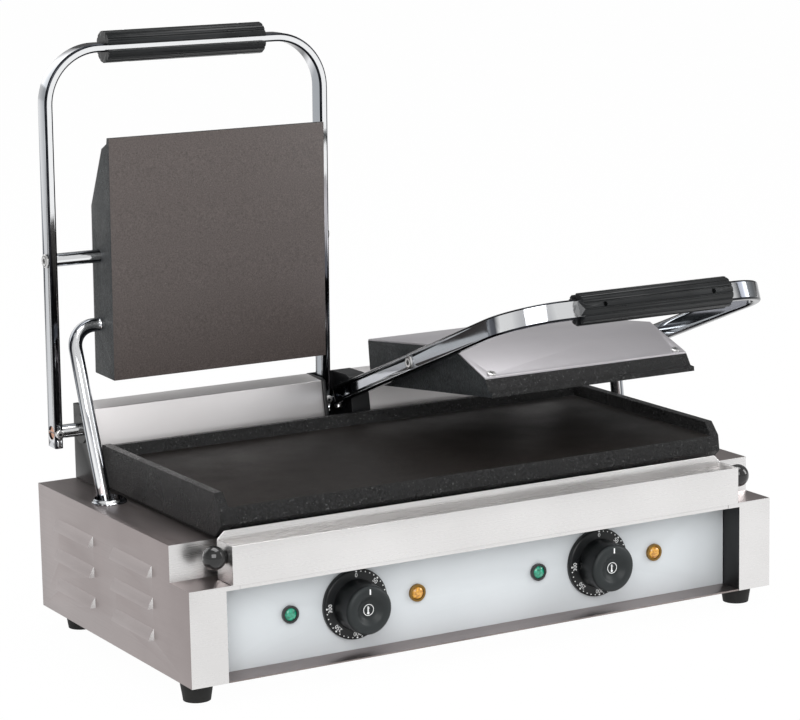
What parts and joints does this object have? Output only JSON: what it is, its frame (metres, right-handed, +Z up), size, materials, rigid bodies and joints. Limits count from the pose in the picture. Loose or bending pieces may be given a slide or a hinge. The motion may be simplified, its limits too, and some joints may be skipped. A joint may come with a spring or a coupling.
{
  "type": "contact grill",
  "caption": "Countertop contact grill with a wide lower plate, hinged lid frames that carry swinging upper plates, a drip tray and thermostat dials.",
  "frame": {"origin": "on the table, under the middle of the grill's outline with its lids raised as at rest", "axes": "+X to the user's right, +Y from the front to the back, +Z up"},
  "size_m": [0.58, 0.3582, 0.5205],
  "materials": {
    "steel_case": "satin brushed stainless",
    "panel_steel": "pale matte panel",
    "steel_bright": "fine satin stainless",
    "cast_iron_black": "rough black cast iron",
    "gasket_rubber": "matte",
    "element_steel": "dull sheath",
    "zinc_steel": "zinc plated",
    "insulation": "ceramic fibre mat",
    "brown_plastic": "phenolic",
    "black_plastic": "satin black",
    "green_lens": "translucent green",
    "amber_lens": "translucent amber",
    "black_gloss": "gloss black",
    "ivory_plastic": "ceramic ivory",
    "black_rubber": "matte",
    "black_paint": "black enamel",
    "spring_steel": "oiled",
    "chrome_bright": "polished chrome"
  },
  "bodies": {
    "base": {"side_case_left": "steel_case", "side_case_right": "steel_case", "base_pan": "steel_case", "back_panel": "steel_case", "front_panel": "panel_steel", "front_ledge": "steel_bright", "deck_plate": "steel_case", "lower_plate": "cast_iron_black", "plate_gasket": "gasket_rubber", "lower_heaters": "element_steel", "heater_clamp": "zinc_steel", "lower_insulation": "insulation", "heat_shield": "zinc_steel", "thermostat_bodies": "brown_plastic", "dial_skirts": "black_plastic", "green_lamp_lenses": "green_lens", "amber_lamp_lenses": "amber_lens", "lamp_bezels": "black_gloss", "lamp_bodies": "black_plastic", "terminal_block": "ivory_plastic", "cable_gland": "black_plastic", "rubber_feet": "black_rubber", "foot_screws": "zinc_steel", "rear_housing_left": "steel_bright", "rear_housing_right": "steel_bright", "hinge_cheeks": "black_paint", "hinge_web": "black_paint", "hinge_bushes": "black_plastic", "torsion_springs": "spring_steel", "conduit_rings": "chrome_bright", "case_screws": "zinc_steel"},
    "tray": {"drip_tray": "steel_bright", "tray_knobs": "black_gloss", "tray_screws": "zinc_steel"},
    "knob_left": {"knob_left": "black_plastic", "thermostat_shaft_left": "zinc_steel"},
    "lid_left": {"lid_frame_left": "chrome_bright", "hinge_shaft_left": "chrome_bright", "pivot_rod_left": "chrome_bright", "grip_shells_left": "black_plastic", "frame_bolts_left": "zinc_steel"},
    "plate_left": {"upper_plate_left": "cast_iron_black", "plate_cover_left": "steel_bright", "cover_screws_left": "zinc_steel", "upper_heater_left": "element_steel", "upper_insulation_left": "insulation"},
    "conduit_left": {"conduit_left": "chrome_bright"},
    "knob_right": {"knob_right": "black_plastic", "thermostat_shaft_right": "zinc_steel"},
    "lid_right": {"lid_frame_right": "chrome_bright", "hinge_shaft_right": "chrome_bright", "pivot_rod_right": "chrome_bright", "grip_shells_right": "black_plastic", "frame_bolts_right": "zinc_steel"},
    "plate_right": {"upper_plate_right": "cast_iron_black", "plate_cover_right": "steel_bright", "cover_screws_right": "zinc_steel", "upper_heater_right": "element_steel", "upper_insulation_right": "insulation"},
    "conduit_right": {"conduit_right": "chrome_bright"}
  },
  "joints": [
    {"name": "tray_slide", "type": "slide", "parent": "base", "child": "tray", "axis": [0, -1, 0], "range_m": [0, 0.06]},
    {"name": "knob_left_turn", "type": "hinge", "parent": "base", "child": "knob_left", "pos_m": [-0.1236, -0.11489, 0.0585], "axis": [0, 1, 0], "range_deg": [0, 265]},
    {"name": "knob_right_turn", "type": "hinge", "parent": "base", "child": "knob_right", "pos_m": [0.1164, -0.11489, 0.0585], "axis": [0, 1, 0], "range_deg": [0, 265]},
    {"name": "lid_left_hinge", "type": "hinge", "parent": "base", "child": "lid_left", "pos_m": [0, 0.14511, 0.1748], "axis": [-1, 0, 0], "range_deg": [-85.64, 4]},
    {"name": "plate_left_swing", "type": "hinge", "parent": "lid_left", "child": "plate_left", "pos_m": [0, 0.14167, 0.32626], "axis": [-1, 0, 0], "range_deg": [-4, 2]},
    {"name": "conduit_left_swivel", "type": "hinge", "parent": "plate_left", "child": "conduit_left", "pos_m": [0, 0.14637, 0.26537], "axis": [-1, 0, 0], "range_deg": [-4, 51]},
    {"name": "lid_right_hinge", "type": "hinge", "parent": "base", "child": "lid_right", "pos_m": [0, 0.14511, 0.1748], "axis": [-1, 0, 0], "range_deg": [-17.69, 36]},
    {"name": "plate_right_swing", "type": "hinge", "parent": "lid_right", "child": "plate_right", "pos_m": [0, 0.00343, 0.22848], "axis": [-1, 0, 0], "range_deg": [-25, 13]},
    {"name": "conduit_right_swivel", "type": "hinge", "parent": "plate_right", "child": "conduit_right", "pos_m": [0, 0.06441, 0.22498], "axis": [-1, 0, 0], "range_deg": [-5, 8]}
  ],
  "couplings": [
    {"joint": "plate_left_swing", "follows": "lid_left_hinge", "ratio": 0.0323},
    {"joint": "conduit_left_swivel", "follows": "lid_left_hinge", "ratio": -0.5772},
    {"joint": "plate_right_swing", "follows": "lid_right_hinge", "ratio": -0.6551},
    {"joint": "conduit_right_swivel", "follows": "lid_right_hinge", "ratio": 0.1702}
  ]
}
